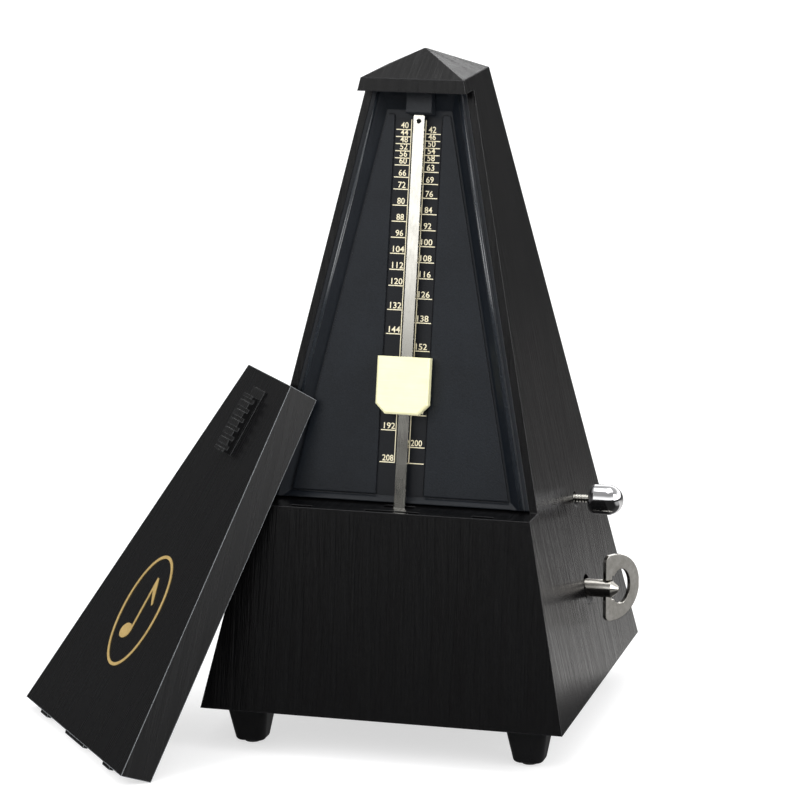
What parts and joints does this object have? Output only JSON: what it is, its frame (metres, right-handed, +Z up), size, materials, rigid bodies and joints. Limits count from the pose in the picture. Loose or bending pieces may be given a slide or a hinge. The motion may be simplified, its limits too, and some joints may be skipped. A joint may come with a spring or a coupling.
{
  "type": "metronome",
  "caption": "Wind-up pyramid metronome with swinging pendulum, sliding weight, winding key, bell selector and a lift-off front cover",
  "frame": {"origin": "centre of the case's flat underside, 14 mm above the surface that the feet stand on", "axes": "+Z up, -Y out of the front where the pendulum swings, +X to the right, towards the winding key"},
  "size_m": [0.1996, 0.1627, 0.2228],
  "materials": {
    "case_plastic": "near-black moulded plastic with an embossed vertical wood grain, satin",
    "cover_plastic": "near-black moulded plastic with an embossed vertical wood grain, satin",
    "base_plastic": "black moulded plastic, dull",
    "face_plastic": "dark slate-blue plastic with a fine texture",
    "scale_print": "dark printed strip with gold numerals and marks",
    "clip_plastic": "slate-blue plastic, satin",
    "foot_plastic": "black plastic, semi-gloss",
    "pad_rubber": "dull dark rubber",
    "latch_plastic": "black plastic, satin",
    "badge_print": "gold hot-stamped foil",
    "cam_plastic": "off-white moulded plastic",
    "frame_steel": "zinc-plated sheet steel",
    "arbor_steel": "turned steel",
    "screw_steel": "zinc-plated steel",
    "spring_steel": "blued spring steel",
    "movement_brass": "satin brass",
    "weight_brass": "pale champagne lacquered brass, finely brushed",
    "bell_metal": "nickel-plated",
    "rod_nickel": "nickel-plated steel, finely brushed",
    "key_nickel": "nickel-plated steel",
    "knob_chrome": "bright chrome",
    "bob_iron": "grey cast metal"
  },
  "bodies": {
    "case": {"case_shell": "case_plastic", "roof_cap": "case_plastic", "face_panel": "face_plastic", "scale_plate": "scale_print", "rod_clip": "clip_plastic", "bottom_plate": "base_plastic", "bottom_screws": "screw_steel", "foot_front_left": "foot_plastic", "foot_front_right": "foot_plastic", "foot_back_left": "foot_plastic", "foot_back_right": "foot_plastic", "foot_pads": "pad_rubber", "frame_plate_left": "frame_steel", "frame_plate_right": "frame_steel", "frame_pillars": "movement_brass", "bridge_pillars": "movement_brass", "frame_screws": "screw_steel", "escape_bridge": "frame_steel", "staff_bearing_front": "frame_steel", "staff_bearing_back": "frame_steel", "bell_bridge": "frame_steel", "bell_post": "movement_brass", "bell": "bell_metal", "bell_nut": "screw_steel", "click_stud": "screw_steel", "click_spring": "spring_steel"},
    "winding": {"winding_arbor": "arbor_steel", "ratchet_wheel": "arbor_steel", "key_shank": "key_nickel"},
    "key": {"key_ring": "key_nickel"},
    "barrel": {"great_wheel": "movement_brass", "barrel_drum": "movement_brass", "barrel_cap": "movement_brass", "mainspring": "spring_steel"},
    "intermediate": {"intermediate_arbor": "arbor_steel", "intermediate_wheel": "movement_brass"},
    "escape": {"escape_arbor": "arbor_steel", "cam_drive_gear": "movement_brass", "escape_wheel": "movement_brass"},
    "bell_cam": {"cam_arbor": "arbor_steel", "cam_wheel": "movement_brass", "cam_drum": "cam_plastic"},
    "selector": {"selector_rod": "rod_nickel", "bell_knob": "knob_chrome"},
    "hammer": {"hammer_arm": "frame_steel", "hammer_head": "movement_brass"},
    "pawl": {"click": "arbor_steel"},
    "pendulum": {"pendulum_rod": "rod_nickel", "pendulum_hub": "movement_brass", "pendulum_staff": "arbor_steel", "pallets": "arbor_steel", "pendulum_bob": "bob_iron"},
    "weight": {"sliding_weight": "weight_brass", "weight_spring": "spring_steel"},
    "cover": {"cover_shell": "cover_plastic", "latch_guide": "latch_plastic", "cover_badge": "badge_print"},
    "latch": {"latch_slider": "latch_plastic", "latch_bolt": "latch_plastic"}
  },
  "joints": [
    {"name": "key_wind", "type": "hinge", "parent": "case", "child": "winding", "pos_m": [0, 0.0063, 0.0304], "axis": [1, 0, 0], "continuous": true},
    {"name": "key_fold", "type": "hinge", "parent": "winding", "child": "key", "pos_m": [0.0603, 0.0063, 0.0304], "axis": [0, 0, 1], "range_deg": [-135, 25]},
    {"name": "barrel_spin", "type": "hinge", "parent": "case", "child": "barrel", "pos_m": [0, 0.0063, 0.0304], "axis": [1, 0, 0], "continuous": true},
    {"name": "intermediate_spin", "type": "hinge", "parent": "case", "child": "intermediate", "pos_m": [0, -0.01265, 0.04077], "axis": [1, 0, 0], "continuous": true},
    {"name": "escape_spin", "type": "hinge", "parent": "case", "child": "escape", "pos_m": [0, -0.0205, 0.05697], "axis": [1, 0, 0], "continuous": true},
    {"name": "bell_cam_spin", "type": "hinge", "parent": "case", "child": "bell_cam", "pos_m": [0, -0.00802, 0.0673], "axis": [1, 0, 0], "continuous": true},
    {"name": "bell_select", "type": "slide", "parent": "case", "child": "selector", "axis": [1, 0, 0], "range_m": [-0.0024, 0.0072]},
    {"name": "hammer_swing", "type": "hinge", "parent": "selector", "child": "hammer", "pos_m": [0.007, 0.014, 0.0586], "axis": [1, 0, 0], "range_deg": [0, 8]},
    {"name": "pawl_lift", "type": "hinge", "parent": "case", "child": "pawl", "pos_m": [0.023, 0.0186, 0.0384], "axis": [1, 0, 0], "range_deg": [-4, 2], "stiffness_Nm_per_rad": 0.002},
    {"name": "pendulum_swing", "type": "hinge", "parent": "case", "child": "pendulum", "pos_m": [0.00095, -0.03834, 0.0608], "axis": [0, -0.9779, 0.2092], "range_deg": [-22, 22]},
    {"name": "weight_slide", "type": "slide", "parent": "pendulum", "child": "weight", "axis": [0, 0.2092, 0.9779], "range_m": [-0.0252, 0.0745]},
    {"name": "cover_lift", "type": "slide", "parent": "case", "child": "cover", "axis": [0, 0, 1], "range_m": [0, 0.25]},
    {"name": "cover_latch", "type": "slide", "parent": "cover", "child": "latch", "axis": [0.4092, 0.3377, 0.8476], "range_m": [-0.001, 0.0052]}
  ],
  "couplings": [
    {"joint": "intermediate_spin", "follows": "barrel_spin", "ratio": -5},
    {"joint": "escape_spin", "follows": "barrel_spin", "ratio": 20},
    {"joint": "bell_cam_spin", "follows": "barrel_spin", "ratio": -10}
  ]
}
